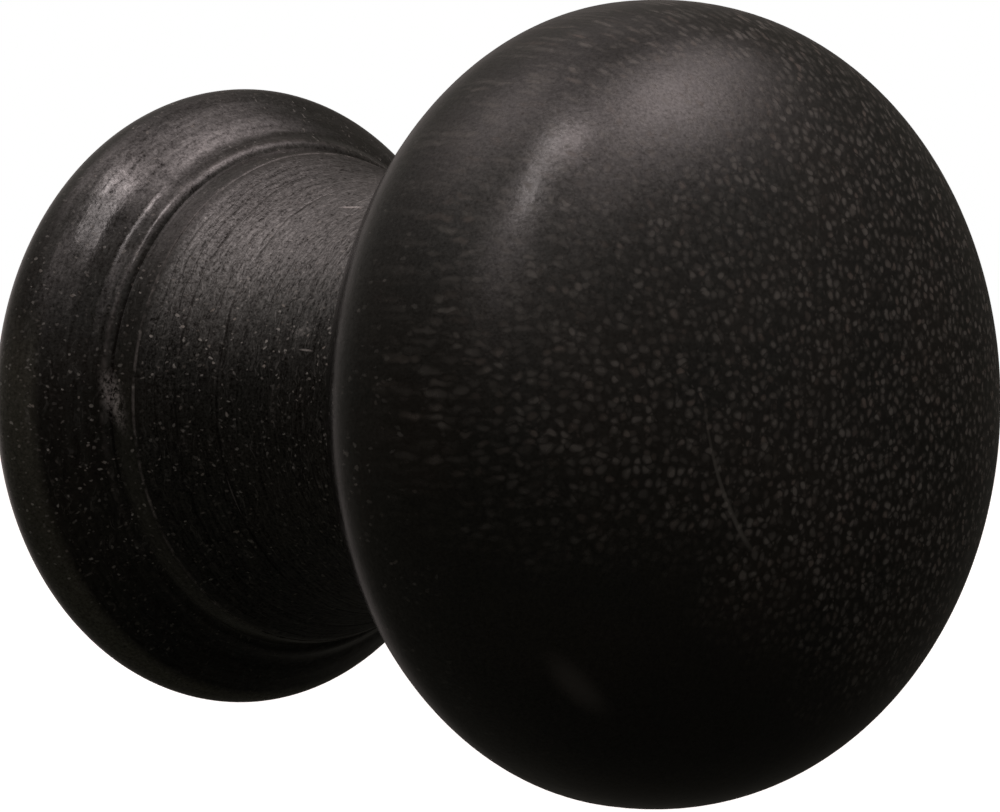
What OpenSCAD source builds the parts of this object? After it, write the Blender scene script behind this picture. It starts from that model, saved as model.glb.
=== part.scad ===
// Turned hardwood cupboard knob with its bolt-through fixing.
// The origin is the centre of the flat mounting face. The knob stands out
// along -Y, +Z is up, and the fixing screw comes in from +Y through the panel.

/* [Head] */
// Diameter of the round head
head_d = 38; // [34:0.5:42]
// Height of the head's widest circle above the mounting face
head_z = 31.75; // [30.5:0.25:33]
// Depth of the head in front of its widest circle
head_front = 12.4; // [10:0.2:14]
// Depth of the head behind its widest circle
head_rear = 9.65; // [9:0.05:10]
// Fullness of the front face: 2 is an ellipse, more is squarer
front_power = 2.29; // [2:0.01:2.6]
// Fullness of the rear face
rear_power = 2.05; // [2:0.01:2.2]

/* [Neck] */
// Diameter of the neck at its waist
waist_d = 20.6; // [18:0.2:22]
// Height of the waist above the mounting face
waist_z = 17.3; // [16:0.1:18]
// How quickly the cove opens towards the base
cove_power = 2.1; // [1.8:0.05:2.4]

/* [Base] */
// Diameter of the base flange
base_d = 32.1; // [31:0.1:34]
// Radius of the flange's rounded edge
nose_r = 2; // [1.8:0.05:2.2]
// Height of the flange's widest circle above the mounting face
nose_z = 2.4; // [2.2:0.05:2.6]
// Height of the groove between the flange and the riser
groove_z = 6.7; // [6.5:0.02:6.9]
// Diameter at the bottom of that groove
groove_d = 25.7; // [25.2:0.1:26]
// Height of the riser's sharp lip
lip_z = 8.0; // [7.8:0.05:8.6]
// Diameter of the lip
lip_d = 25.1; // [24.4:0.1:25.2]

/* [Fixing] */
// Thickness of the panel that the knob is bolted to
panel_t = 10; // [9:0.5:12]
// Nominal thread diameter of the screw
thread_d = 4; // [3:1:4]
// Length of the screw under its head
screw_l = 16; // [15:0.5:18]
// Diameter of the screw's pan head
screw_head_d = 8; // [7:0.1:8.4]
// Height of the pan head
screw_head_h = 2.6; // [2.2:0.1:2.8]
// Outer diameter of the washer
washer_d = 9; // [8.6:0.1:10]
// Thickness of the washer
washer_t = 0.8; // [0.5:0.1:1]
// Length of the threaded insert
insert_l = 10; // [8:0.5:11]
// Outer diameter of the insert's flange
insert_flange_d = 8; // [7.6:0.1:9]

/* [Hidden] */
wood_col = [0.075, 0.064, 0.058];
brass_col = [0.78, 0.61, 0.28];
zinc_col = [0.72, 0.73, 0.74];
fine = 128;

head_r = head_d / 2;
waist_r = waist_d / 2;
base_r = base_d / 2;
nose_c = base_r - nose_r;         // centre circle of the flange's rounded edge
lip_r = lip_d / 2;
groove_r = groove_d / 2;
run_c = 0.05;                     // running clearance of screw in insert
core_r = 3;                       // insert body between its barbs
barb_r = 3.3;                     // insert body over its barbs
pocket_r = 3.1;                   // hole in the wood: the barbs bite into it
sink = 0.05;                      // insert flange sits just below the face
flange_t = 0.8;
pocket_z = insert_l + 0.25;
pilot_r = 2.3;
pilot_z = 16;
washer_bore_r = thread_d / 2 + 0.15;
head_under = -(panel_t + washer_t); // underside of the screw head

// signed power, so one rule draws both halves of the head
function spow(v, p) = v < 0 ? -pow(-v, p) : pow(v, p);
// point of the head's outline at angle t: -90 rear pole, 0 rim, 90 front pole
function head_pt(t) =
    let (n = t < 0 ? rear_power : front_power,
         c = t < 0 ? head_rear : head_front)
    [head_r * pow(max(cos(t), 0), 2 / n), head_z + c * spow(sin(t), 2 / n)];
function bez(a, b, c, d, s) =
    pow(1 - s, 3) * a + 3 * s * pow(1 - s, 2) * b
    + 3 * s * s * (1 - s) * c + pow(s, 3) * d;
function arc(c, r, a0, a1, n) =
    [for (i = [0:n]) let (a = a0 + (a1 - a0) * i / n) [c[0] + r * cos(a), c[1] + r * sin(a)]];

// the neck meets the rear of the head here, along the head's own tangent
join_t = -46;
join_p = head_pt(join_t);
join_q = head_pt(join_t + 0.5) - head_pt(join_t);
join_u = join_q / norm(join_q);

// cove between the lip and the waist
function cove(z) = waist_r + (lip_r - waist_r) * pow((waist_z - z) / (waist_z - lip_z), cove_power);

// front slope of the flange, [radius, height]: it leaves the rounded edge,
// swells, dips, and ends in a small bead at the groove
slope_0 = [nose_c + nose_r * cos(34), nose_z + nose_r * sin(34)];
slope_1 = [groove_r + 1.92, groove_z - 2.02];
slope_2 = [groove_r + 0.93, groove_z - 1.05];
slope_3 = [groove_r + 0.5, groove_z - 0.42];
slope_4 = [groove_r + 0.1, groove_z - 0.04];
function flange_front() = concat(
    [for (i = [1:4]) bez(slope_0, slope_0 + [-0.36, 0.52], slope_1 + [0.35, -0.42], slope_1, i / 5)],
    [for (i = [0:5]) bez(slope_1, slope_1 + [-0.42, 0.5], slope_2 + [0.28, -0.25], slope_2, i / 6)],
    [for (i = [0:3]) bez(slope_2, slope_2 + [-0.2, 0.22], slope_3 + [0.12, -0.22], slope_3, i / 4)],
    [for (i = [0:4]) bez(slope_3, slope_3 + [-0.1, 0.18], slope_4 + [0.16, -0.06], slope_4, i / 5)],
    [slope_4, [groove_r, groove_z], [groove_r - 0.04, groove_z + 0.06], [groove_r - 0.07, groove_z + 0.2]]);

// half outline of the knob, [radius, height], from the face's centre outwards
function outline() = concat(
    [[0, 0]],
    // rounded back edge, a little deeper than the front one
    [for (i = [0:14]) let (a = -90 + 90 * i / 15) [nose_c + nose_r * cos(a), nose_z + nose_z * sin(a)]],
    arc([nose_c, nose_z], nose_r, 0, 34, 8),
    flange_front(),
    [[lip_r + 0.05, lip_z - 0.12], [lip_r + 0.02, lip_z - 0.03], [lip_r - 0.03, lip_z]],
    [for (i = [1:21]) let (z = lip_z + (waist_z - lip_z) * i / 22) [cove(z), z]],
    [for (i = [0:15]) bez([waist_r, waist_z],
        [waist_r, waist_z + 4.1], join_p - join_u * 2.6, join_p, i / 16)],
    [for (i = [0:17]) head_pt(join_t * (1 - i / 18))],
    [for (i = [0:31]) head_pt(90 * i / 32)],
    [[0, head_z + head_front]]
);

// everything is drawn along +Z and turned here so that the knob faces -Y
module facing_front() { rotate([90, 0, 0]) children(); }

module knob_body() {
    color(wood_col) facing_front() difference() {
        rotate_extrude($fn = fine) polygon(outline());
        // counterbore for the insert's flange
        translate([0, 0, -1]) cylinder(h = 1 + sink + flange_t + 0.05, r = insert_flange_d / 2 + 0.05, $fn = 64);
        // pocket for the insert's barbed body
        translate([0, 0, -1]) cylinder(h = 1 + pocket_z, r = pocket_r, $fn = 64);
        // run-out beyond the insert, with a drill point
        translate([0, 0, -1]) cylinder(h = 1 + pilot_z, r = pilot_r, $fn = 48);
        translate([0, 0, pilot_z]) cylinder(h = pilot_r * 0.6, r1 = pilot_r, r2 = 0, $fn = 48);
    }
}

// saw-tooth barbs around the insert, [radius, height]
barb_n = 4;
barb_z0 = sink + flange_t + 0.6;
barb_p = (insert_l - barb_z0 - 0.4) / barb_n;
function barbs() = [for (i = [0:barb_n - 1], k = [0:2])
    let (z = barb_z0 + i * barb_p)
    k == 0 ? [core_r, z] : k == 1 ? [barb_r, z + barb_p * 0.12] : [core_r, z + barb_p * 0.9]];

module threaded_insert() {
    color(brass_col) facing_front() difference() {
        rotate_extrude($fn = 64) polygon(concat(
            [[1, sink], [insert_flange_d / 2 - 0.15, sink], [insert_flange_d / 2, sink + 0.15],
             [insert_flange_d / 2, sink + flange_t], [core_r, sink + flange_t]],
            barbs(),
            [[core_r, insert_l - 0.3], [core_r - 0.3, insert_l], [1, insert_l]]));
        // straight slots across the barbs, for grip
        for (a = [0:45:315]) rotate(a) translate([core_r + 0.45, 0, barb_z0 + 0.1])
            rotate(45) translate([-0.3, -0.3, 0]) cube([0.6, 0.6, insert_l]);
        // tapped bore, drawn at its running size, with countersunk ends
        translate([0, 0, -1]) cylinder(h = insert_l + 2, r = thread_d / 2 + run_c, $fn = 48);
        translate([0, 0, sink - 0.01]) cylinder(h = 0.41, r1 = thread_d / 2 + run_c + 0.4, r2 = thread_d / 2 + run_c, $fn = 48);
    }
}

module washer() {
    color(zinc_col) facing_front() translate([0, 0, head_under]) rotate_extrude($fn = 64)
        polygon([[washer_bore_r, 0.06], [washer_bore_r + 0.06, 0], [washer_d / 2, 0],
                 [washer_d / 2, washer_t - 0.12], [washer_d / 2 - 0.12, washer_t],
                 [washer_bore_r + 0.06, washer_t], [washer_bore_r, washer_t - 0.06]]);
}

module machine_screw() {
    r = thread_d / 2;
    hr = screw_head_d / 2;
    color(zinc_col) facing_front() translate([0, 0, head_under]) difference() {
        // shank with chamfered tip, and a domed pan head below it
        rotate_extrude($fn = 64) polygon(concat(
            [[0, -screw_head_h]],
            [for (i = [1:5]) let (q = (hr - 1.5) * i / 5) [q, -screw_head_h + 0.06 * q * q]],
            arc([hr - 1.05, 1.48 - screw_head_h], 1.05, -80, 0, 9),
            [[hr, -0.08], [hr - 0.08, 0], [r, 0], [r, screw_l - 0.45], [r - 0.45, screw_l], [0, screw_l]]));
        // cross recess: four wings with sloping ends
        intersection() {
            union() for (a = [0, 90]) rotate(a)
                translate([-2.3, -0.5, -screw_head_h - 0.5]) cube([4.6, 1, 2.3]);
            translate([0, 0, -screw_head_h - 0.5]) cylinder(h = 2.6, r1 = 2.45, r2 = 0.9, $fn = 48);
        }
    }
}

knob_body();
threaded_insert();
washer();
machine_screw();
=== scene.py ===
import math
import random

import bpy
import numpy as np
from mathutils import Matrix, Vector


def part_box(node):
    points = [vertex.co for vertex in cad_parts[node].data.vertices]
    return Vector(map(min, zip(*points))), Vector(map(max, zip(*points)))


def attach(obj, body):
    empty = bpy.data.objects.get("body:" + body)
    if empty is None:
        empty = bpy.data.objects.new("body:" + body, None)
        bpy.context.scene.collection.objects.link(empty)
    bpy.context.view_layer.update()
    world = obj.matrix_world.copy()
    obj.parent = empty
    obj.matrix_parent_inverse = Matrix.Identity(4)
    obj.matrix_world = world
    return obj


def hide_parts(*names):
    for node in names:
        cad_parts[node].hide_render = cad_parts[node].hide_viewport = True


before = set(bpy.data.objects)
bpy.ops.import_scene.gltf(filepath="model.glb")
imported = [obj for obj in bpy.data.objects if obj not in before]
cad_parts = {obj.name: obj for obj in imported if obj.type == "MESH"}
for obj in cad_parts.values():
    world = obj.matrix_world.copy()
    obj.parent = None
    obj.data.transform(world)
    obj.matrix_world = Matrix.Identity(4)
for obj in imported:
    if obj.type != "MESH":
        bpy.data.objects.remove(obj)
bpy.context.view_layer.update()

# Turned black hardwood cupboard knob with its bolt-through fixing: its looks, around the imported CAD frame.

random.seed(11)
rng = np.random.default_rng(11)
MM = 0.001
scene = bpy.context.scene


# ---------------------------------------------------------------- mesh helpers
def lathe(name, prof, segs, warp=None):
    """A closed solid of revolution about the Y axis. prof is [radius, height] in mm from pole to pole, height h is y = -h.
    warp(radius, height, angle) gives new radius and height arrays."""
    prof = np.asarray(prof, float)
    th = np.arange(segs) * 2 * np.pi / segs
    ring = prof[1:-1]
    r = np.repeat(ring[:, 0][:, None], segs, 1)
    h = np.repeat(ring[:, 1][:, None], segs, 1)
    t = np.repeat(th[None, :], len(ring), 0)
    if warp:
        r, h = warp(r, h, t)
    co = np.stack([r * np.cos(t), -h, r * np.sin(t)], -1).reshape(-1, 3)
    a, b = len(co), len(co) + 1
    co = np.vstack([co, [[0, -prof[0, 1], 0], [0, -prof[-1, 1], 0]]]) * MM
    n = len(ring)
    i = np.arange(n - 1)[:, None] * segs
    j = np.arange(segs)[None, :]
    k = (j + 1) % segs
    quads = np.stack([i + j, i + k, i + segs + k, i + segs + j], -1).reshape(-1, 4)
    faces = quads.tolist()
    faces += [[a, int((s + 1) % segs), int(s)] for s in range(segs)]
    o = (n - 1) * segs
    faces += [[b, int(o + s), int(o + (s + 1) % segs)] for s in range(segs)]
    return mesh_object(name, co, faces)


def tube(name, r, h, t):
    """A closed ring surface: r, h, t are grids [section point, angle] in mm, closed both ways."""
    n, segs = r.shape
    co = np.stack([r * np.cos(t), -h, r * np.sin(t)], -1).reshape(-1, 3) * MM
    i = np.arange(n)[:, None]
    j = np.arange(segs)[None, :]
    i2, j2 = (i + 1) % n, (j + 1) % segs
    quads = np.stack([i * segs + j, i * segs + j2, i2 * segs + j2, i2 * segs + j], -1).reshape(-1, 4)
    return mesh_object(name, co, quads.tolist())


def mesh_object(name, co, faces):
    me = bpy.data.meshes.new(name)
    me.from_pydata([tuple(map(float, c)) for c in co], [], faces)
    me.update()
    # every solid's faces point outwards
    vol = 0.0
    v = np.array([x.co for x in me.vertices], float)
    me.calc_loop_triangles()
    tri = np.array([l.vertices for l in me.loop_triangles])
    vol = np.einsum("ij,ij->i", v[tri[:, 0]], np.cross(v[tri[:, 1]], v[tri[:, 2]])).sum()
    if vol < 0:
        me.flip_normals()
    me.shade_smooth()
    ob = bpy.data.objects.new(name, me)
    scene.collection.objects.link(ob)
    return ob


def sharpen(ob, angle=38):
    """Edges steeper than the angle stay crisp."""
    ob.data.set_sharp_from_angle(angle=math.radians(angle))


# ---------------------------------------------------------------- the knob's outline
HEAD_R, HEAD_Z, HEAD_F, HEAD_B, POW_F, POW_B = 19.0, 31.75, 12.4, 9.65, 2.29, 2.05
WAIST_R, WAIST_Z, BASE_R, NOSE_R, NOSE_Z = 10.3, 17.3, 16.05, 2.0, 2.4
GROOVE_Z, GROOVE_R, LIP_Z, LIP_R = 6.7, 12.85, 8.0, 12.55
NOSE_C = BASE_R - NOSE_R


def V(*a):
    return np.array(a, float)


def head_pt(t):
    n, c = (POW_B, HEAD_B) if t < 0 else (POW_F, HEAD_F)
    ct, st = max(math.cos(math.radians(t)), 0.0), math.sin(math.radians(t))
    return V(HEAD_R * ct ** (2 / n), HEAD_Z + c * math.copysign(abs(st) ** (2 / n), st))


def bez(a, b, c, d, n):
    return [(1 - s) ** 3 * a + 3 * s * (1 - s) ** 2 * b + 3 * s * s * (1 - s) * c + s ** 3 * d for s in (i / n for i in range(n))]


def groove(z, at, width, depth):
    """A small V-shaped turning groove."""
    return -depth * np.maximum(0, 1 - abs(z - at) / width)


def outline():
    p = [V(0, 17.36), V(1.2, 16.66), V(2.3, 16.0), V(2.3, 14.0), V(2.3, 12.0), V(2.3, 10.27), V(2.35, 10.25), V(3.05, 10.25), V(3.1, 10.2),
         V(3.1, 7.0), V(3.1, 4.0), V(3.1, 0.95), V(3.15, 0.9), V(4.0, 0.9), V(4.05, 0.86), V(4.05, 0.35), V(4.06, 0.12), V(4.16, 0.0),
         V(6.0, 0), V(8.5, 0), V(11.0, 0), V(13.0, 0)]
    p += [V(NOSE_C + NOSE_R * math.cos(a), NOSE_Z + NOSE_Z * math.sin(a)) for a in np.radians(np.linspace(-90, 0, 19)[:-1])]
    p += [V(NOSE_C + NOSE_R * math.cos(a), NOSE_Z + NOSE_R * math.sin(a)) for a in np.radians(np.linspace(0, 34, 11)[:-1])]
    a34 = math.radians(34)
    s0 = V(NOSE_C + NOSE_R * math.cos(a34), NOSE_Z + NOSE_R * math.sin(a34))
    s1, s2 = V(GROOVE_R + 1.92, GROOVE_Z - 2.02), V(GROOVE_R + .93, GROOVE_Z - 1.05)
    s3, s4 = V(GROOVE_R + .5, GROOVE_Z - .42), V(GROOVE_R + .1, GROOVE_Z - .04)
    p += bez(s0, s0 + V(-.36, .52), s1 + V(.35, -.42), s1, 10)
    p += bez(s1, s1 + V(-.42, .5), s2 + V(.28, -.25), s2, 10)
    p += bez(s2, s2 + V(-.2, .22), s3 + V(.12, -.22), s3, 6)
    p += bez(s3, s3 + V(-.1, .18), s4 + V(.16, -.06), s4, 7)
    p += [s4, V(GROOVE_R, GROOVE_Z), V(GROOVE_R - .04, GROOVE_Z + .06), V(GROOVE_R - .07, GROOVE_Z + .2)]
    r0, r1 = p[-1], V(LIP_R + .05, LIP_Z - .12)
    p += [r0 + (r1 - r0) * i / 5 for i in range(1, 5)]
    p += [r1, V(LIP_R + .02, LIP_Z - .03), V(LIP_R - .03, LIP_Z)]
    n = 84
    for i in range(1, n):
        z = LIP_Z + (WAIST_Z - LIP_Z) * i / n
        p.append(V(WAIST_R + (LIP_R - WAIST_R) * ((WAIST_Z - z) / (WAIST_Z - LIP_Z)) ** 2.1, z))
    jt = -46
    jp = head_pt(jt)
    ju = head_pt(jt + .5) - jp
    ju /= np.linalg.norm(ju)
    p += bez(V(WAIST_R, WAIST_Z), V(WAIST_R, WAIST_Z + 4.1), jp - ju * 2.6, jp, 26)
    p += [head_pt(jt * (1 - i / 26)) for i in range(26)]
    p += [head_pt(90 * i / 50) for i in range(50)]
    p.append(V(0, HEAD_Z + HEAD_F))
    return np.array(p)


def turned(r, h, t):
    """Tool marks that are deep enough to be shape: two V grooves and fine rings in the cove, and a lip that isn't quite even."""
    d = np.zeros_like(r)
    cove = (h > LIP_Z + .1) & (h < 20) & (r > 6)
    fade = np.clip((h - LIP_Z - .1) / .8, 0, 1) * np.clip((20 - h) / 3, 0, 1)
    d += np.where(cove, groove(h, 10.03, .16, .05) * (0.75 + .25 * np.sin(t * 2 + 1.0)), 0)
    d += np.where(cove, groove(h, 12.4, .15, .035), 0)
    d += np.where(cove, fade * (.006 * np.sin(h * 9.3 + .5 * np.sin(t)) + .005 * np.sin(h * 17.1 + 2)), 0)
    lip = np.exp(-((h - LIP_Z + .05) / .14) ** 2) * (r > 12)
    d -= lip * (.012 + .012 * np.sin(t * 7 + 1.3) * np.sin(t * 3 + .4) + .008 * np.sin(t * 19 + 2))
    return r + d, h


wood = lathe("turned_knob", outline(), 300, turned)
sharpen(wood, 34)
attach(wood, "knob")
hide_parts("knob_body")

# ---------------------------------------------------------------- thread shape, shared by screw and insert
PITCH = 0.7


def thread(u):
    """Radius of an M4 thread at phase u (0..1): flat crest at 2.0 - 0.02, flat root at 1.57."""
    u = np.mod(u, 1.0)
    crest, root = 1.985, 1.57
    d = np.abs(u - 0.5) * 2          # 0 at the crest's middle, 1 at the root's middle
    s = np.clip((d - 0.125) / (0.75 - 0.125), 0, 1)
    return crest + (root - crest) * s


def phase(h, t):
    """Right-hand helix about +Y. The lathe's angle t runs from +X to +Z, which is a negative turn about +Y."""
    y = -h
    turn = -t / (2 * np.pi)
    return turn - y / PITCH


# ---------------------------------------------------------------- screw
wash_lo, wash_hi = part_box("washer")
screw_lo, screw_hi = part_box("machine_screw")
UNDER = -round(wash_hi.y / MM, 2)                        # height of the head's underside, -10.8
HEAD_H, HEAD_D = 2.6, 8.0
LENGTH = round((wash_hi.y - screw_lo.y) / MM, 1)         # 16


def screw_mesh():
    segs = 72
    hr = HEAD_D / 2
    top = UNDER - HEAD_H
    prof = [V(0, top)]
    prof += [V((hr - 1.5) * i / 12, top + 0.06 * ((hr - 1.5) * i / 12) ** 2) for i in range(1, 13)]
    prof += [V(hr - 1.05 + 1.05 * math.cos(math.radians(a)), UNDER + 1.48 - HEAD_H + 1.05 * math.sin(math.radians(a))) for a in np.linspace(-80, 0, 13)]
    prof += [V(hr, UNDER - .6), V(hr, UNDER - .08), V(hr - .08, UNDER), V(3.0, UNDER), V(2.12, UNDER), V(1.99, UNDER + .06)]
    n = int(LENGTH / PITCH * 14)
    prof += [V(1.99, UNDER + .1 + (LENGTH - .45 - .1) * i / n) for i in range(n + 1)]
    prof += [V(1.75, UNDER + LENGTH - .25), V(1.55, UNDER + LENGTH - .03), V(1.3, UNDER + LENGTH), V(.7, UNDER + LENGTH), V(0, UNDER + LENGTH)]

    def cut(r, h, t):
        z = h - UNDER
        f = np.clip((z - .5) / .9, 0, 1)                       # the thread runs out below the head
        tr = thread(phase(h, t))
        rr = np.where((z > .08) & (r > 1.2), np.minimum(r, r * (1 - f) + tr * f), r)
        end = 2.0 - np.clip((z - LENGTH + .8) / .8, 0, 1) * .5         # chamfered tip
        rr = np.where((z > LENGTH - .8) & (r > 1.2), np.minimum(rr, end), rr)
        return rr, h
    return lathe("machine_screw_m4", prof, segs, cut)


screw = screw_mesh()


def recess_cutter():
    """Cross recess: four tapering wings and a conical floor."""
    import bmesh
    bm = bmesh.new()
    top, floor = UNDER - HEAD_H - .6, UNDER - HEAD_H + 1.62
    for a in (0, 90):
        c, s = math.cos(math.radians(a)), math.sin(math.radians(a))
        ring = []
        for depth, half, w in ((top, 2.45, .56), (UNDER - HEAD_H + .15, 2.28, .5), (floor - .25, 1.05, .4), (floor, .5, .3)):
            ring.append([bm.verts.new(((c * x - s * y) * MM, -depth * MM, (s * x + c * y) * MM))
                         for x, y in ((-half, -w), (half, -w), (half, w), (-half, w))])
        for k in range(len(ring) - 1):
            for i in range(4):
                bm.faces.new((ring[k][i], ring[k][(i + 1) % 4], ring[k + 1][(i + 1) % 4], ring[k + 1][i]))
        bm.faces.new(ring[0][::-1])
        bm.faces.new(ring[-1])
    bmesh.ops.recalc_face_normals(bm, faces=bm.faces)
    me = bpy.data.meshes.new("recess")
    bm.to_mesh(me)
    bm.free()
    ob = bpy.data.objects.new("recess", me)
    scene.collection.objects.link(ob)
    return ob


def subtract(ob, cutter):
    m = ob.modifiers.new("cut", "BOOLEAN")
    m.operation, m.solver, m.object = "DIFFERENCE", "EXACT", cutter
    m.use_self = True
    dg = bpy.context.evaluated_depsgraph_get()
    me = bpy.data.meshes.new_from_object(ob.evaluated_get(dg))
    ob.modifiers.clear()
    ob.data = me
    bpy.data.objects.remove(cutter)


subtract(screw, recess_cutter())
sharpen(screw, 30)
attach(screw, "screw")
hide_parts("machine_screw")


# ---------------------------------------------------------------- washer
def washer_mesh():
    b, R, t0 = 2.15, 4.5, .8
    sec = [V(b + .02, .1), V(b + .03, .04), V(b + .1, 0), V(b + .3, 0), V(2.8, 0), V(3.4, 0), V(4.0, 0), V(R - .16, 0), V(R - .05, .03), V(R, .1),
           V(R, .3), V(R, t0 - .2), V(R - .03, t0 - .1), V(R - .12, t0 - .02), V(R - .25, t0), V(4.0, t0), V(3.4, t0), V(2.8, t0), V(b + .28, t0), V(b + .1, t0 - .03),
           V(b + .03, t0 - .08), V(b, t0 - .2), V(b, .5), V(b, .25)]
    sec = np.array(sec)
    segs = 144
    t = np.repeat((np.arange(segs) * 2 * np.pi / segs)[None, :], len(sec), 0)
    r = np.repeat(sec[:, 0][:, None], segs, 1)
    h = np.repeat(sec[:, 1][:, None], segs, 1)
    # punched, so the flats aren't quite flat near the edges
    h = np.clip(h + .006 * np.sin(2 * t + .7) * ((r > 2.6) & (r < 4.3)) * np.where(h < .4, 1, -1), 0, t0)
    return tube("flat_washer", r, h + UNDER, t)


washer = washer_mesh()
sharpen(washer, 40)
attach(washer, "washer")
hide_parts("washer")


# ---------------------------------------------------------------- insert
def insert_mesh():
    sink, fl, n, L, core, barb = .05, .8, 4, 10.0, 3.0, 3.3
    z0 = sink + fl + .6
    p = (L - z0 - .4) / n
    outer = [V(2.5, sink), V(3.2, sink), V(3.8, sink), V(3.95, sink + .04), V(4.0, sink + .15), V(4.0, sink + .5), V(4.0, sink + fl - .04), V(3.96, sink + fl), V(3.4, sink + fl),
             V(core + .03, sink + fl), V(core, sink + fl + .05), V(core, z0 - .1), V(core, z0)]
    for k in range(n):
        z = z0 + k * p
        outer += [V(core, z), V(barb - .03, z + p * .11), V(barb, z + p * .13), V(barb - .02, z + p * .18)]
        outer += [V(barb + (core - barb) * (i / 8), z + p * (.18 + .72 * i / 8)) for i in range(1, 9)]
        outer += [V(core, z + p * .95)]
    outer += [V(core, L - .35), V(core - .3, L), V(2.5, L), V(2.32, L)]
    m = int(9.2 / PITCH * 10)
    inner = [V(2.05, L - .36 - (L - .36 - .46) * i / m) for i in range(m + 1)]
    sec = np.array(outer + inner + [V(2.05, .42), V(2.44, sink + .01)])
    segs = 128
    t = np.repeat((np.arange(segs) * 2 * np.pi / segs)[None, :], len(sec), 0)
    r = np.repeat(sec[:, 0][:, None], segs, 1)
    h = np.repeat(sec[:, 1][:, None], segs, 1)
    # eight straight slots across the barbs
    a = np.mod(t + np.pi / 8, np.pi / 4) - np.pi / 8
    slot_r = 3.02 + np.abs(a) * 3.1
    band = (h > z0 + .1) & (r > 2.8)
    r = np.where(band, np.minimum(r, np.maximum(slot_r, 3.0)), r)
    # the tapped thread, in step with the screw's
    f = np.clip((h - .5) / .5, 0, 1) * np.clip((L - .4 - h) / .5, 0, 1)
    tr = np.clip(thread(phase(h, t)) + .06, 1.68, 2.05)
    bore = np.arange(len(sec))[:, None] >= len(outer)
    bore = np.repeat(bore, segs, 1) & (h > .45) & (h < L - .3)
    r = np.where(bore, 2.05 * (1 - f) + tr * f, r)
    return tube("brass_insert_m4", r, h, t)


insert = insert_mesh()
sharpen(insert, 30)
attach(insert, "knob")
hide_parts("threaded_insert")


# ---------------------------------------------------------------- materials
class Nodes:
    """Short names for building a node tree."""

    def __init__(self, mat):
        mat.use_nodes = True
        self.t = mat.node_tree
        self.t.nodes.clear()

    def put(self, kind, **props):
        n = self.t.nodes.new(kind)
        for k, v in props.items():
            setattr(n, k, v)
        return n

    def wire(self, a, b):
        self.t.links.new(a, b)

    def feed(self, sock, v):
        if isinstance(v, bpy.types.NodeSocket):
            self.wire(v, sock)
        elif v is not None:
            sock.default_value = v

    def math(self, op, a, b=None, c=None, clamp=False):
        n = self.put("ShaderNodeMath", operation=op, use_clamp=clamp)
        for i, v in enumerate((a, b, c)):
            if v is not None:
                self.feed(n.inputs[i], v)
        return n.outputs[0]

    def vec(self, op, a, b=None, scale=None):
        n = self.put("ShaderNodeVectorMath", operation=op)
        self.feed(n.inputs[0], a)
        if b is not None:
            self.feed(n.inputs[1], b)
        if scale is not None:
            self.feed(n.inputs["Scale"], scale)
        return n.outputs["Value"] if op in ("LENGTH", "DOT_PRODUCT", "DISTANCE") else n.outputs[0]

    def xyz(self, v):
        n = self.put("ShaderNodeSeparateXYZ")
        self.wire(v, n.inputs[0])
        return n.outputs

    def join(self, x, y, z):
        n = self.put("ShaderNodeCombineXYZ")
        for i, v in enumerate((x, y, z)):
            self.feed(n.inputs[i], v)
        return n.outputs[0]

    def noise(self, v, scale=1.0, detail=3.0, rough=0.5, distort=0.0):
        n = self.put("ShaderNodeTexNoise", noise_dimensions="3D")
        self.wire(v, n.inputs["Vector"])
        n.inputs["Scale"].default_value = scale
        n.inputs["Detail"].default_value = detail
        n.inputs["Roughness"].default_value = rough
        n.inputs["Distortion"].default_value = distort
        return n.outputs["Fac"]

    def cells(self, v, scale=1.0, feature="F1", jitter=1.0, dims="3D"):
        n = self.put("ShaderNodeTexVoronoi", voronoi_dimensions=dims, feature=feature)
        self.wire(v, n.inputs["Vector"])
        n.inputs["Scale"].default_value = scale
        n.inputs["Randomness"].default_value = jitter
        return n.outputs["Distance"], n.outputs.get("Color")

    def span(self, v, a, b, lo=0.0, hi=1.0, kind="LINEAR"):
        """v from a..b mapped to lo..hi, clamped."""
        n = self.put("ShaderNodeMapRange", clamp=True, interpolation_type=kind)
        self.feed(n.inputs["Value"], v)
        for name, x in (("From Min", a), ("From Max", b), ("To Min", lo), ("To Max", hi)):
            self.feed(n.inputs[name], x)
        return n.outputs["Result"]

    def mix(self, f, a, b):
        n = self.put("ShaderNodeMix", data_type="RGBA", clamp_factor=True)
        self.feed(n.inputs["Factor"], f)
        self.feed(n.inputs[6], a)
        self.feed(n.inputs[7], b)
        return n.outputs[2]

    def bump(self, height, distance, strength=1.0, normal=None):
        n = self.put("ShaderNodeBump")
        n.inputs["Strength"].default_value = strength
        n.inputs["Distance"].default_value = distance
        self.wire(height, n.inputs["Height"])
        if normal is not None:
            self.wire(normal, n.inputs["Normal"])
        return n.outputs["Normal"]

    def surface(self, **sockets):
        b = self.put("ShaderNodeBsdfPrincipled")
        for k, v in sockets.items():
            self.feed(b.inputs[k.replace("_", " ")], v)
        out = self.put("ShaderNodeOutputMaterial")
        self.wire(b.outputs[0], out.inputs[0])
        return b

    def mm(self):
        tc = self.put("ShaderNodeTexCoord")
        return self.vec("SCALE", tc.outputs["Object"], scale=1000.0)


def rgb(r, g, b):
    return (r, g, b, 1.0)


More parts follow.
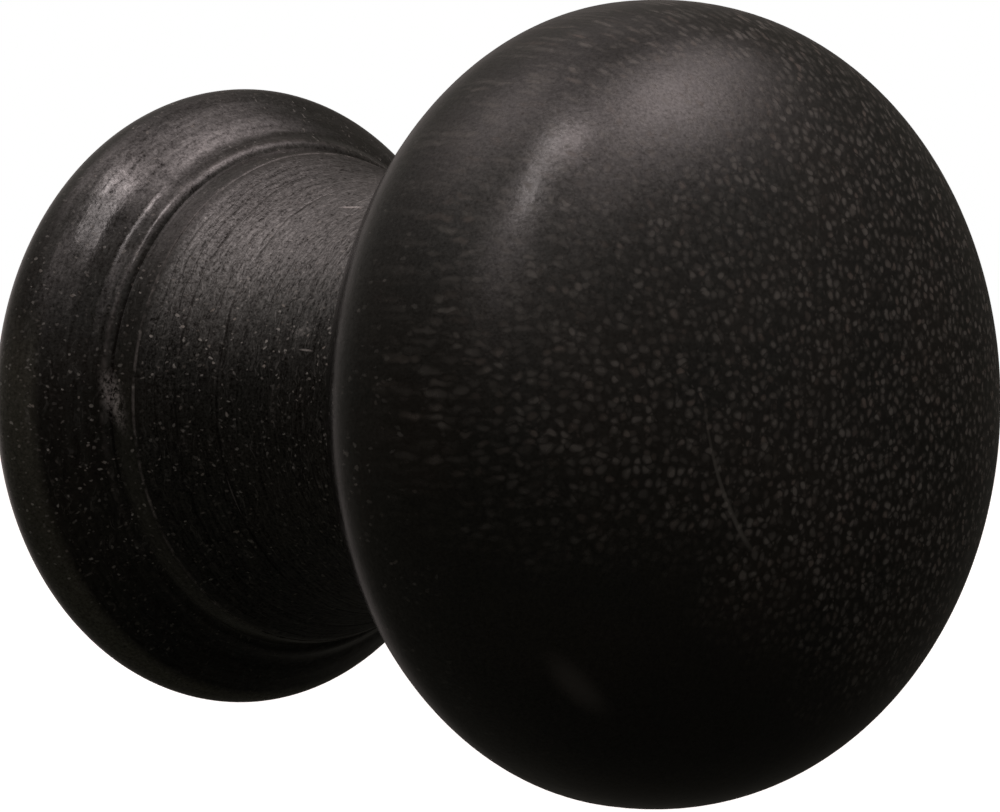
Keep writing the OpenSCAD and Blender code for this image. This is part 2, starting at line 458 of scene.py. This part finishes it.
def mark(k, p, start, end, width, depth=1.2, tails=0.35):
    """A worn or scratched spot, or a painted reflection, from start to end (mm), width across, soft at its edges."""
    a, b = Vector(start), Vector(end)
    c, u = (a + b) / 2, (b - a).normalized()
    out = Vector((c.x, 0, c.z)).normalized() if c.y > -30 else Vector((c.x * .5, -1, c.z * .5)).normalized()
    w = u.cross(out).normalized()
    out = w.cross(u)
    half = (b - a).length / 2
    d = k.vec("SUBTRACT", p, tuple(c))
    q = k.join(k.vec("DOT_PRODUCT", d, tuple(u / half)), k.vec("DOT_PRODUCT", d, tuple(w / width)), k.vec("DOT_PRODUCT", d, tuple(out / depth)))
    return k.span(k.vec("LENGTH", q), 1.0, tails, kind="SMOOTHSTEP")


def wood_material():
    """Nearly black hardwood with an oiled, hand-worn shine. The grain runs along Y: pores are round dots where it is cut across,
    on the head's front, and short flecks and dashes on the sides. The cove keeps its tool marks and dry fibres."""
    mat = bpy.data.materials.new("black_hardwood")
    k = Nodes(mat)
    p = k.mm()
    x, y, z = k.xyz(p)
    head = k.span(y, -24.0, -30.0)
    # the head's front, where the end grain shows; it reaches further round at the top
    front = k.span(k.math("MULTIPLY_ADD", k.span(z, 4.0, 12.0), -2.2, y), -31.5, -36.0)
    neck = k.math("MULTIPLY", k.span(y, -8.0, -8.5), k.span(y, -24.5, -21.0))
    slope = k.math("MULTIPLY", k.span(y, -2.2, -3.6), k.span(y, -8.0, -7.2))
    turned_zone = k.math("ADD", neck, k.math("MULTIPLY", slope, 0.9), clamp=True)
    base = k.math("SUBTRACT", 1.0, head)

    big = k.noise(p, 0.16, 2.0, 0.55)
    mid = k.noise(p, 0.75, 3.0, 0.6)
    fine = k.noise(p, 4.6, 2.0, 0.7)
    grit = k.noise(k.vec("MULTIPLY", p, (1.0, 0.7, 1.0)), 8.5, 2.0, 0.7)
    ripple = k.noise(p, 1.9, 2.0, 0.6)
    warp = k.put("ShaderNodeTexNoise", noise_dimensions="3D")
    k.wire(p, warp.inputs["Vector"])
    warp.inputs["Scale"].default_value = 1.3
    warp.inputs["Detail"].default_value = 1.0
    sway = k.vec("SUBTRACT", warp.outputs["Color"], (0.5, 0.5, 0.5))
    bent = k.vec("ADD", p, k.vec("SCALE", sway, scale=0.5))
    bx, by, bz = k.xyz(bent)

    # end grain: round pores close together, dim and soft, with a finer crop between them
    flat = k.join(bx, bz, 0.0)
    d0, c0 = k.cells(flat, 2.1, dims="2D", jitter=0.9)
    r0, g0, b0 = k.xyz(c0)
    d3, c3 = k.cells(flat, 3.7, dims="2D", jitter=0.9)
    r3, g3, b3 = k.xyz(c3)
    wide = k.math("MULTIPLY_ADD", g0, 0.14, 0.42)
    dot = k.math("MULTIPLY", k.span(k.math("MULTIPLY_ADD", k.math("SUBTRACT", fine, 0.5), 0.08, d0), wide, 0.08, kind="SMOOTHSTEP"), k.math("MULTIPLY_ADD", k.math("POWER", r0, 1.4), 0.76, 0.24))
    dot2 = k.math("MULTIPLY", k.span(d3, 0.42, 0.08, kind="SMOOTHSTEP"), k.math("MULTIPLY", k.math("POWER", r3, 2.0), 0.35))
    dots = k.math("MAXIMUM", dot, dot2)
    # more pores, and brighter, towards +X and at the top; the low part towards -X is closed: partly a real spread of
    # the pores, partly painted light on the lit side and painted shade low down
    edge = k.math("ADD", k.math("MULTIPLY_ADD", x, 0.47, z), k.math("MULTIPLY_ADD", k.math("SUBTRACT", k.noise(p, 0.3, 2.0, 0.6), 0.5), 9.0, 12.1))
    pores_and_painted_light = k.math("MULTIPLY", k.span(edge, -2.0, 4.0, 0.02, 1.0), k.math("MULTIPLY", k.span(x, -18.0, -5.0, 0.7, 1.0), k.span(mid, 0.34, 0.62, 0.45, 1.0)))
    # the pores are painted brighter towards +X, where the light falls
    dots = k.math("MULTIPLY", k.math("MULTIPLY", dots, front), k.math("MULTIPLY", pores_and_painted_light, k.span(x, -6.0, 14.0, 0.85, 1.3)))

    # side grain: small ragged flecks, a little long in the grain direction
    size = k.span(head, 0.0, 1.0, 1.0, 0.72)
    side = k.join(k.math("MULTIPLY", bx, size), k.math("MULTIPLY", by, k.span(head, 0.0, 1.0, 0.6, 0.4)), k.math("MULTIPLY", bz, size))
    d1, c1 = k.cells(side, 4.0)
    cr, cg, cb = k.xyz(c1)
    ragged = k.math("MULTIPLY_ADD", k.math("SUBTRACT", fine, 0.5), 0.58, d1)
    fleck = k.span(ragged, k.math("MULTIPLY_ADD", cg, 0.12, 0.27), k.math("MULTIPLY_ADD", cg, 0.10, 0.10), kind="SMOOTHSTEP")
    fleck = k.math("MULTIPLY", fleck, k.math("MULTIPLY_ADD", k.math("POWER", cr, 2.8), 0.95, 0.05))
    fleck = k.math("MULTIPLY", k.math("MULTIPLY", fleck, k.math("SUBTRACT", 1.0, front)), k.math("MULTIPLY", k.span(mid, 0.36, 0.60, 0.22, 1.0), k.span(head, 0.0, 1.0, 1.0, 0.55)))
    fleck = k.math("MULTIPLY", fleck, k.math("MULTIPLY", k.span(z, 5.0, 12.0, 1.0, 0.55), k.span(z, -13.0, -7.0, 0.35, 1.0)))
    # more of them where the cove turns away from the light: partly real flecks, partly painted glints along the edge of
    # the light
    fleck = k.math("MULTIPLY", fleck, k.math("MULTIPLY_ADD", neck, k.span(k.math("ABSOLUTE", k.math("SUBTRACT", z, 3.4)), 2.6, 0.6, 0.0, 1.8), 1.0), clamp=True)

    # longer dashes where the grain lies along the surface
    d2, c2 = k.cells(k.vec("MULTIPLY", bent, (1.0, 0.13, 1.0)), 1.35)
    dr, dg, db = k.xyz(c2)
    dash = k.math("MULTIPLY", k.span(k.math("MULTIPLY_ADD", k.math("SUBTRACT", fine, 0.5), 0.12, d2), 0.11, 0.04, kind="SMOOTHSTEP"), k.span(dr, 0.45, 0.95))
    dash = k.math("MULTIPLY", dash, k.math("SUBTRACT", 1.0, front))

    # turning: fine rings round the axis, short curly fibres that lie along them, and a few clear tool lines
    rings = k.noise(k.vec("MULTIPLY", p, (0.16, 5.2, 0.16)), 1.0, 2.0, 0.6)
    curly = k.vec("MULTIPLY", k.vec("ADD", p, k.vec("SCALE", sway, scale=0.7)), (1.6, 5.0, 1.6))
    fibres = k.noise(curly, 1.0, 2.0, 0.65, 0.8)
    fibre = k.math("MULTIPLY", k.span(fibres, 0.57, 0.70, kind="SMOOTHSTEP"), k.math("MULTIPLY", turned_zone, k.span(mid, 0.36, 0.6, 0.15, 1.0)))
    drift = k.math("MULTIPLY_ADD", k.math("SUBTRACT", k.noise(p, 0.35, 2.0, 0.6), 0.5), 0.5, y)
    tool = None
    for at, wide_, deep_ in ((-8.62, .06, .6), (-9.05, .07, .7), (-9.5, .06, .6), (-10.1, .11, 1.0), (-10.85, .05, .4), (-11.6, .04, .3),
                             (-12.35, .10, 1.0), (-13.1, .04, .25), (-14.7, .04, .25), (-18.2, .06, .5)):
        t = k.span(k.math("ABSOLUTE", k.math("SUBTRACT", drift, at)), wide_, wide_ * 0.2, 0.0, deep_, kind="SMOOTHSTEP")
        tool = t if tool is None else k.math("MAXIMUM", tool, t)
    tool = k.math("MULTIPLY", tool, k.span(k.noise(k.vec("MULTIPLY", p, (0.35, 2.0, 0.35)), 1.0, 2.0, 0.6), 0.34, 0.52))

    # one long curved scratch on the front, a few spots worn dry, and one painted reflection on a dry, fuzzy patch near
    # the riser at the left
    sc = k.vec("LENGTH", k.vec("SUBTRACT", k.join(x, 0.0, z), (SCR_X, 0.0, SCR_Z)))
    line = k.math("ABSOLUTE", k.math("SUBTRACT", sc, SCR_R))
    scratch = k.math("MULTIPLY", k.span(line, k.span(z, 0.6, -5.9, 0.06, 0.19), 0.02, kind="SMOOTHSTEP"),
                     k.math("MULTIPLY", k.math("MULTIPLY", k.span(z, 1.0, -3.6, 0.0, 1.0), k.span(z, -6.3, -5.6)),
                            k.math("MULTIPLY", k.math("LESS_THAN", y, -34.0), k.math("LESS_THAN", x, SCR_X))))
    worn_spots_and_painted_reflection = [(mark(k, p, (-13.8, -37.9, -10.0), (-9.9, -38.4, -14.0), 0.9, 2.5, 0.1), 0.13, False),
            # painted reflection: the light from the left painted as a pale patch by the riser
            (mark(k, p, (-13.25, -6.3, 2.1), (-12.6, -7.5, -2.0), 0.70, 1.0, 0.0), 0.85, True),
            (mark(k, p, (-4.45, -13.9, 9.6), (-4.0, -15.7, 9.6), 0.15, 0.6, 0.3), 1.0, False),
            (mark(k, p, (-8.4, -11.2, -7.3), (-7.8, -11.9, -7.9), 0.35, 1.0, 0.0), 0.25, True),
            (mark(k, p, (-10.4, -12.35, -3.3), (-9.1, -12.45, -6.0), 0.06, 0.6, 0.3), 0.25, False),
            (mark(k, p, (-10.0, -17.3, 2.6), (-10.0, -18.6, 2.5), 0.07, 0.6, 0.3), 0.8, False),
            (mark(k, p, (-9.75, -15.9, 3.7), (-9.8, -17.6, 3.2), 0.09, 0.6, 0.3), 0.5, True),
            (mark(k, p, (-8.1, -18.3, 5.6), (-8.7, -18.5, 4.4), 0.12, 0.6, 0.3), 0.6, True)]
    speck = k.span(fine, 0.40, 0.62)

    # colour: the wood, a thin dull film where it was turned, kept to the cove's upper side as painted light, then
    # pores, fibres and marks
    ground = k.mix(k.span(big, 0.38, 0.64), rgb(.0040, .0036, .0031), rgb(.0072, .0056, .0045))
    # the film is real dust, painted only on the cove's upper side, where the light falls
    upper = k.span(k.math("MULTIPLY_ADD", k.math("SUBTRACT", mid, 0.5), 3.0, z), 0.8, 6.8, kind="SMOOTHSTEP")
    film_and_painted_top_light = k.math("ADD", k.math("MULTIPLY", k.math("MULTIPLY", neck, upper), k.math("MULTIPLY", k.span(fibres, 0.35, 0.65, 0.008, 0.036), k.span(y, -8.6, -12.0, 0.35, 1.0))), 0.001)
    # painted rim light: a pale film on the flange's outer edge and the riser, laid only in their lower half and
    # stronger towards the bottom
    low = k.span(k.math("MULTIPLY_ADD", k.math("SUBTRACT", mid, 0.5), 4.0, z), 6.0, 0.5, kind="SMOOTHSTEP")
    painted_rim_edge = k.math("MULTIPLY", k.math("MULTIPLY", base, k.span(y, -4.05, -3.6)), 0.030)
    painted_rim_riser = k.math("MULTIPLY", k.math("MULTIPLY", k.span(y, -6.6, -7.1), k.span(y, -8.1, -7.7)), k.span(z, 1.5, -5.0, 0.005, 0.018))
    painted_rim_light = k.math("MULTIPLY", k.math("ADD", painted_rim_edge, painted_rim_riser), k.math("MULTIPLY", low, k.span(k.math("ADD", fine, grit), 0.7, 1.3, 0.45, 1.55)))
    painted_rim_light = k.math("MULTIPLY", painted_rim_light, k.span(z, -7.0, -14.0, 1.0, 2.2))
    col = k.vec("ADD", ground, k.vec("SCALE", (1.0, 0.96, 0.95), scale=film_and_painted_top_light))
    # the painted rim light on the lower edges
    col = k.vec("ADD", col, k.vec("SCALE", (1.0, 1.0, 0.80), scale=painted_rim_light))
    col = k.mix(k.math("MULTIPLY", dots, PORE_GAIN), col, k.mix(k.span(b0, 0.6, 1.0), rgb(.175, .166, .154), rgb(.165, .138, .122)))
    col = k.mix(k.math("MULTIPLY", fleck, 0.8), col, k.mix(k.span(cb, 0.5, 0.9), rgb(.32, .31, .295), rgb(.26, .235, .215)))
    col = k.mix(k.math("MULTIPLY", dash, 0.40), col, rgb(.30, .29, .275))
    col = k.mix(k.math("MULTIPLY", fibre, k.span(y, -12.5, -17.0, 0.10, 0.22)), col, rgb(.26, .25, .245))
    col = k.mix(k.math("MULTIPLY", scratch, 0.42), col, rgb(.12, .115, .105))
    # painted highlight: the riser's lip and the bead beside the groove are painted paler, as thin bright lines, the
    # bead more towards its top
    rub = k.math("ADD", k.span(k.math("ABSOLUTE", k.math("ADD", y, 7.98)), 0.10, 0.02, 0.0, 0.9), k.math("MULTIPLY", k.span(k.math("ABSOLUTE", k.math("ADD", y, 6.42)), 0.16, 0.02, 0.0, 0.5), k.span(z, -2.0, 4.0, 0.35, 1.0)), clamp=True)
    rub = k.math("MULTIPLY", k.math("MULTIPLY", rub, k.span(k.vec("LENGTH", k.join(x, 0.0, z)), 12.2, 12.4)), k.span(ripple, 0.36, 0.62))
    col = k.mix(k.math("MULTIPLY", rub, 0.30), col, rgb(.30, .275, .27))
    # worn spots, and the painted reflection by the riser
    for m_, amount, speckled in worn_spots_and_painted_reflection:
        f = k.math("MULTIPLY", m_, amount)
        if speckled:
            f = k.math("MULTIPLY", f, speck)
        col = k.mix(f, col, rgb(.30, .28, .275))

    # finish
    pore = k.math("MAXIMUM", dots, fleck)
    rough = k.math("ADD", k.span(mid, 0.3, 0.7, ROUGH - 0.03, ROUGH + 0.06), k.math("ADD", k.math("MULTIPLY", neck, 0.21), k.math("MULTIPLY", slope, -0.045)))
    rough = k.math("MULTIPLY_ADD", k.math("SUBTRACT", fine, 0.5), 0.10, rough)
    rough = k.math("MULTIPLY_ADD", pore, 0.15, rough, clamp=True)
    h = k.math("MULTIPLY", k.math("SUBTRACT", fine, 0.5), k.math("MULTIPLY_ADD", neck, GRAIN, 0.0032))
    h = k.math("MULTIPLY_ADD", k.math("SUBTRACT", ripple, 0.5), 0.0075, h)
    h = k.math("MULTIPLY_ADD", k.math("SUBTRACT", mid, 0.5), 0.014, h)
    h = k.math("MULTIPLY_ADD", pore, -0.003, h)
    h = k.math("MULTIPLY_ADD", k.math("MULTIPLY", k.math("SUBTRACT", rings, 0.5), k.math("MULTIPLY_ADD", slope, 0.2, neck)), 0.020, h)
    h = k.math("MULTIPLY_ADD", k.math("MULTIPLY", k.math("SUBTRACT", fibres, 0.5), neck), 0.030, h)
    h = k.math("MULTIPLY_ADD", k.math("MULTIPLY", tool, turned_zone), -0.030, h)
    h = k.math("MULTIPLY_ADD", scratch, -0.008, h)
    n = k.bump(h, MM)
    spec = k.math("MULTIPLY_ADD", k.math("MULTIPLY", neck, k.math("MULTIPLY_ADD", upper, 0.69, -0.04)), k.span(y, -8.6, -12.0, 0.6, 1.0), k.math("MULTIPLY_ADD", k.math("SUBTRACT", base, neck, clamp=True), 0.10, 0.5))
    spec = k.math("MULTIPLY", spec, k.math("MULTIPLY_ADD", k.math("MULTIPLY", tool, turned_zone), -0.6, 1.0))
    # the flange is duller below its top
    spec = k.math("MULTIPLY", spec, k.math("MULTIPLY_ADD", k.math("MULTIPLY", k.math("SUBTRACT", base, neck, clamp=True), k.span(z, 10.8, 9.0)), -0.37, 1.0))
    # the polish is uneven: a fine grit everywhere, brighter fibres and rings where it was turned, and dull pores
    uneven = k.math("MULTIPLY_ADD", k.math("SUBTRACT", grit, 0.5), k.math("MULTIPLY_ADD", neck, 1.2, k.span(head, 0.0, 1.0, 2.0, 1.4)), 1.0)
    uneven = k.math("MULTIPLY_ADD", k.math("SUBTRACT", fine, 0.5), k.math("MULTIPLY_ADD", neck, 0.8, 1.0), uneven)
    uneven = k.math("MULTIPLY_ADD", k.math("MULTIPLY", k.math("SUBTRACT", fibres, 0.5), turned_zone), 2.2, uneven)
    uneven = k.math("MULTIPLY_ADD", k.math("MULTIPLY", k.math("SUBTRACT", rings, 0.5), turned_zone), 1.6, uneven)
    uneven = k.math("MULTIPLY_ADD", pore, -0.5, uneven)
    spec = k.math("MULTIPLY", spec, k.span(uneven, 0.08, 2.2, 0.08, 2.2))
    # grooves round the axis spread the shine along the axis
    around = k.put("ShaderNodeTangent", direction_type="RADIAL", axis="Y")
    k.surface(Base_Color=col, Roughness=rough, Specular_IOR_Level=spec, Normal=n, Tangent=around.outputs[0],
              Anisotropic=k.math("MULTIPLY_ADD", slope, 0.15, k.math("MULTIPLY", neck, 0.75)), Anisotropic_Rotation=0.25)
    return mat


SCR_X, SCR_Z, SCR_R = 1.96, 1.34, 10.98
ROUGH = 0.195
PORE_GAIN = 0.66
GRAIN = 0.014


def zinc_material():
    """Bright zinc plate over pressed steel: cloudy passivation, fine scuffs, and painted shade, dark grey down in the
    thread roots and the recess.
    """
    mat = bpy.data.materials.new("zinc_plate")
    k = Nodes(mat)
    p = k.mm()
    x, y, z = k.xyz(p)
    rad = k.vec("LENGTH", k.join(x, 0.0, z))
    big = k.noise(p, 0.55, 3.0, 0.55)
    mid = k.noise(p, 2.4, 4.0, 0.6)
    fine = k.noise(p, 11.0, 3.0, 0.6)
    scuff_v = k.vec("MULTIPLY", p, (3.0, 26.0, 3.0))
    scuff = k.noise(scuff_v, 1.0, 2.0, 0.6, 0.4)
    d, c = k.cells(p, 2.6, feature="DISTANCE_TO_EDGE")
    # thread roots on the shank, and the recess in the head, where shade is painted
    shank = k.math("MULTIPLY", k.math("LESS_THAN", rad, 2.02), k.math("LESS_THAN", y, -UNDER - 0.05))
    root = k.math("MULTIPLY", shank, k.span(rad, 1.86, 1.62))
    deep = k.math("MULTIPLY", k.math("LESS_THAN", rad, 2.6), k.math("MULTIPLY", k.span(y, -UNDER + 2.4, -UNDER + 1.6), k.math("GREATER_THAN", y, -UNDER + 0.1)))
    recess_painted_shade = k.math("MAXIMUM", root, deep)
    tint = k.mix(k.span(big, 0.36, 0.64), rgb(.60, .63, .67), rgb(.66, .63, .58))
    tint = k.mix(k.math("MULTIPLY", k.span(mid, 0.5, 0.72), 0.45), tint, rgb(.42, .44, .47))
    # painted shade: the thread roots and the recess are painted dark grey
    tint = k.mix(k.math("MULTIPLY", recess_painted_shade, 0.62), tint, rgb(.15, .145, .14))
    rough = k.math("ADD", k.span(mid, 0.3, 0.7, 0.26, 0.42), k.math("MULTIPLY", recess_painted_shade, 0.2))
    rough = k.math("ADD", rough, k.math("MULTIPLY", k.math("SUBTRACT", fine, 0.5), 0.14), clamp=True)
    h = k.math("MULTIPLY", k.math("SUBTRACT", mid, 0.5), 0.010)
    h = k.math("MULTIPLY_ADD", k.math("SUBTRACT", scuff, 0.5), 0.005, h)
    h = k.math("MULTIPLY_ADD", k.span(d, 0.0, 0.06), 0.0015, h)
    k.surface(Base_Color=tint, Metallic=1.0, Roughness=rough, Normal=k.bump(h, MM))
    return mat


def washer_material():
    """The same plate on punched sheet: circular polishing lines, a burnished rim and rubbed marks where the screw head bears."""
    mat = bpy.data.materials.new("zinc_plate_sheet")
    k = Nodes(mat)
    p = k.mm()
    x, y, z = k.xyz(p)
    rad = k.vec("LENGTH", k.join(x, 0.0, z))
    big = k.noise(p, 0.7, 3.0, 0.55)
    mid = k.noise(p, 3.0, 4.0, 0.6)
    wave = k.noise(k.join(k.math("MULTIPLY", rad, 9.0), k.math("MULTIPLY", x, 0.35), k.math("MULTIPLY", z, 0.35)), 1.0, 3.0, 0.6)
    edge = k.math("MAXIMUM", k.span(rad, 4.3, 4.46), k.span(rad, 2.36, 2.2))
    rub = k.math("MULTIPLY", k.span(rad, 3.95, 3.7), k.span(rad, 2.4, 2.7))
    tint = k.mix(k.span(big, 0.36, 0.64), rgb(.58, .61, .66), rgb(.66, .62, .56))
    tint = k.mix(k.math("MULTIPLY", k.span(wave, 0.45, 0.7), 0.35), tint, rgb(.40, .41, .43))
    tint = k.mix(k.math("MULTIPLY", edge, 0.5), tint, rgb(.72, .73, .75))
    tint = k.mix(k.math("MULTIPLY", rub, k.span(mid, 0.5, 0.7, 0.0, 0.5)), tint, rgb(.30, .30, .31))
    rough = k.math("ADD", k.span(mid, 0.3, 0.7, 0.28, 0.44), k.math("MULTIPLY", edge, -0.08), clamp=True)
    h = k.math("MULTIPLY", k.math("SUBTRACT", wave, 0.5), 0.006)
    h = k.math("MULTIPLY_ADD", k.math("SUBTRACT", mid, 0.5), 0.008, h)
    k.surface(Base_Color=tint, Metallic=1.0, Roughness=rough, Normal=k.bump(h, MM))
    return mat


def brass_material():
    """Free-cutting brass off an automatic lathe: concentric tool lines on the flange, dull tarnish between the barbs."""
    mat = bpy.data.materials.new("machined_brass")
    k = Nodes(mat)
    p = k.mm()
    x, y, z = k.xyz(p)
    rad = k.vec("LENGTH", k.join(x, 0.0, z))
    big = k.noise(p, 0.6, 3.0, 0.55)
    mid = k.noise(p, 2.6, 4.0, 0.6)
    face = k.math("GREATER_THAN", y, -0.3)
    lines = k.noise(k.join(k.math("MULTIPLY", rad, 12.0), k.math("MULTIPLY", x, 0.2), k.math("MULTIPLY", z, 0.2)), 1.0, 2.0, 0.6)
    sides = k.noise(k.vec("MULTIPLY", p, (0.3, 14.0, 0.3)), 1.0, 2.0, 0.6)
    tool = k.mix(face, sides, lines)
    tarnish = k.span(k.math("ADD", mid, k.span(rad, 3.3, 3.02, 0.0, 0.22)), 0.5, 0.82)
    tint = k.mix(k.span(big, 0.36, 0.64), rgb(.86, .66, .30), rgb(.80, .58, .25))
    tint = k.mix(k.math("MULTIPLY", tarnish, 0.5), tint, rgb(.42, .28, .11))
    tint = k.mix(k.math("MULTIPLY", k.span(rad, 3.84, 3.98), face), tint, rgb(.84, .67, .34))
    rough = k.math("ADD", k.span(mid, 0.3, 0.7, 0.30, 0.42), k.math("MULTIPLY", tarnish, 0.15), clamp=True)
    t = k.put("ShaderNodeRGBToBW")
    k.wire(tool, t.inputs[0])
    h = k.math("MULTIPLY", k.math("SUBTRACT", t.outputs[0], 0.5), 0.007)
    h = k.math("MULTIPLY_ADD", k.math("SUBTRACT", mid, 0.5), 0.006, h)
    k.surface(Base_Color=tint, Metallic=1.0, Roughness=rough, Normal=k.bump(h, MM))
    return mat


def dress(ob, mat):
    ob.data.materials.clear()
    ob.data.materials.append(mat)


dress(wood, wood_material())
dress(screw, zinc_material())
dress(washer, washer_material())
dress(insert, brass_material())


# ---------------------------------------------------------------- camera
cam_data = bpy.data.cameras.new("camera")
cam_data.lens = 144.0
cam_data.sensor_width = 36.0
cam_data.sensor_fit = "HORIZONTAL"
cam_data.clip_start = 0.005
cam_data.clip_end = 50
cam = bpy.data.objects.new("camera", cam_data)
scene.collection.objects.link(cam)
PHI, TILT = math.radians(44.036), math.radians(1.2473)
right = Vector((math.cos(PHI), -math.sin(PHI), 0))
ahead = Vector((math.sin(PHI) * math.cos(TILT), math.cos(PHI) * math.cos(TILT), -math.sin(TILT)))
up = right.cross(ahead)
m = Matrix((right, up, -ahead)).transposed().to_4x4()
m.translation = Vector((-0.13643, -0.16210, 0.00404))
cam.matrix_world = m
scene.camera = cam

# ---------------------------------------------------------------- studio
# soft lights as round lobes on the sky: azimuth, elevation, sharpness, strength. Azimuth 0 is in front of the knob (-Y), 90 is +X.
LOBES = [(32, 64, 24, 2.98), (-46, 73, 75, 1.2), (-38, 69, 300, 4.6), (-67, 46, 60, 0.9), (-66, 32, 70, 0.3), (-75, 80, 120, 0.35), (-150, 68, 19, 1.05), (138, 55, 34, 0.21),
         (79, 58, 53, 0.74), (-17, 53, 42, 0.58), (26, 31, 8, 0.16), (-175, 35, 5, 0.17), (-99, 53, 10, 0.36), (-40, 44, 6, 0.34),
         (61, 55, 5, 0.125), (164, -36, 1, 0.01), (166, 0, 25, 0.28), (143, 17, 25, 0.08)]


def direction(az, el):
    a, e = math.radians(az), math.radians(el)
    return (math.sin(a) * math.cos(e), -math.cos(a) * math.cos(e), math.sin(e))


def studio_world():
    world = bpy.data.worlds.new("studio")
    scene.world = world
    world.use_nodes = True
    k = Nodes(world)
    d = k.vec("NORMALIZE", k.put("ShaderNodeTexCoord").outputs["Generated"])
    tone = None
    for az, el, sharp, amount in LOBES:
        c = k.vec("DOT_PRODUCT", d, direction(az, el))
        e = k.math("EXPONENT", k.math("MULTIPLY", k.math("SUBTRACT", c, 1.0), sharp))
        # the compact lights are a little mauve, the wide ones nearly neutral
        tint = (1.14, 0.975, 0.965) if sharp > 12 else (1.06, 0.99, 0.93)
        part = k.vec("SCALE", tuple(v * amount for v in tint), scale=e)
        tone = part if tone is None else k.vec("ADD", tone, part)
    low = k.math("MAXIMUM", k.vec("DOT_PRODUCT", d, direction(105, -38)), 0.0)
    tone = k.vec("ADD", tone, k.vec("SCALE", (0.042, 0.0395, 0.031), scale=k.math("MULTIPLY_ADD", low, -0.7, 1.0)))
    lit, seen = k.put("ShaderNodeBackground"), k.put("ShaderNodeBackground")
    k.wire(tone, lit.inputs["Color"])
    seen.inputs["Color"].default_value = rgb(1, 1, 1)
    ray = k.put("ShaderNodeLightPath")
    both = k.put("ShaderNodeMixShader")
    k.wire(ray.outputs["Is Camera Ray"], both.inputs[0])
    k.wire(lit.outputs[0], both.inputs[1])
    k.wire(seen.outputs[0], both.inputs[2])
    out = k.put("ShaderNodeOutputWorld")
    k.wire(both.outputs[0], out.inputs[0])


studio_world()


def strip_light():
    """A narrow upright softbox close by on the left, whose reflection is the bright streak on the head and on the flange."""
    data = bpy.data.lights.new("strip_softbox", "AREA")
    data.shape = "RECTANGLE"
    data.size, data.size_y = 0.026, 0.13
    data.energy = 5.8 * math.pi * 0.026 * 0.13
    data.color = (1.0, 0.90, 0.89)
    ob = bpy.data.objects.new("strip_softbox", data)
    scene.collection.objects.link(ob)
    d = Vector(direction(-62, 62))
    u = Vector((0, 0, 1))
    side = u.cross(d).normalized()
    upward = d.cross(side)
    m = Matrix((side, upward, d)).transposed().to_4x4()
    m.translation = d * 0.28 + Vector((-0.014, -0.038, 0.010))
    ob.matrix_world = m


strip_light()


def floor():
    """A plain white floor below the knob: it takes soft shadows and sends no light back up."""
    me = bpy.data.meshes.new("floor")
    me.from_pydata([(-3, -3, -.045), (3, -3, -.045), (3, 3, -.045), (-3, 3, -.045)], [], [(0, 1, 2, 3)])
    ob = bpy.data.objects.new("floor", me)
    scene.collection.objects.link(ob)
    mat = bpy.data.materials.new("floor")
    k = Nodes(mat)
    k.surface(Base_Color=rgb(.8, .8, .8), Roughness=.9, Specular_IOR_Level=0.0, Emission_Color=rgb(1, 1, 1), Emission_Strength=.52)
    me.materials.append(mat)
    ob.visible_glossy = ob.visible_diffuse = ob.visible_transmission = ob.visible_shadow = False


floor()
scene.view_settings.view_transform = "Standard"
scene.view_settings.look = "None"
scene.cycles.max_bounces, scene.cycles.diffuse_bounces, scene.cycles.glossy_bounces = 4, 2, 3
